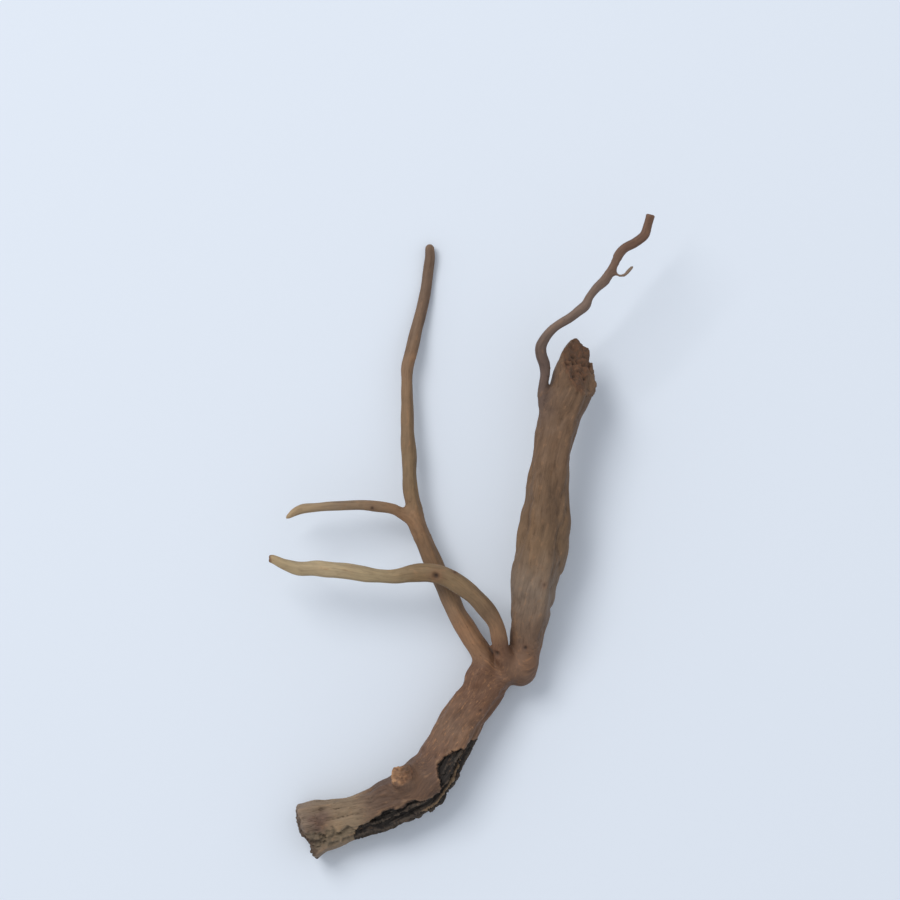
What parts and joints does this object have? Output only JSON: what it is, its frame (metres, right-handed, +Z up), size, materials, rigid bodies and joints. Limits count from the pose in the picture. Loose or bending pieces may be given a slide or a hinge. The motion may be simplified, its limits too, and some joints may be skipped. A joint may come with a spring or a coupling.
{
  "type": "spiderwood root",
  "caption": "Branching spiderwood root that lies on a surface: a stock with a torn foot and a rotten groove, a burl, a thick broken arm, and slender arching and wavy arms.",
  "frame": {"origin": "under the middle of the root's bounding box, on the surface that it lies on", "axes": "+Z up from the surface, towards the side that shows best; +Y along the longest reach, from the torn foot to the tip of the wavy arm; +X towards the thick arm's side"},
  "size_m": [0.1442, 0.2425, 0.0361],
  "materials": {
    "spiderwood": "dry, barkless, weathered wood, matt with a slight sheen on the worn ridges"
  },
  "bodies": {
    "root": {"spiderwood_root": "spiderwood"}
  },
  "joints": []
}
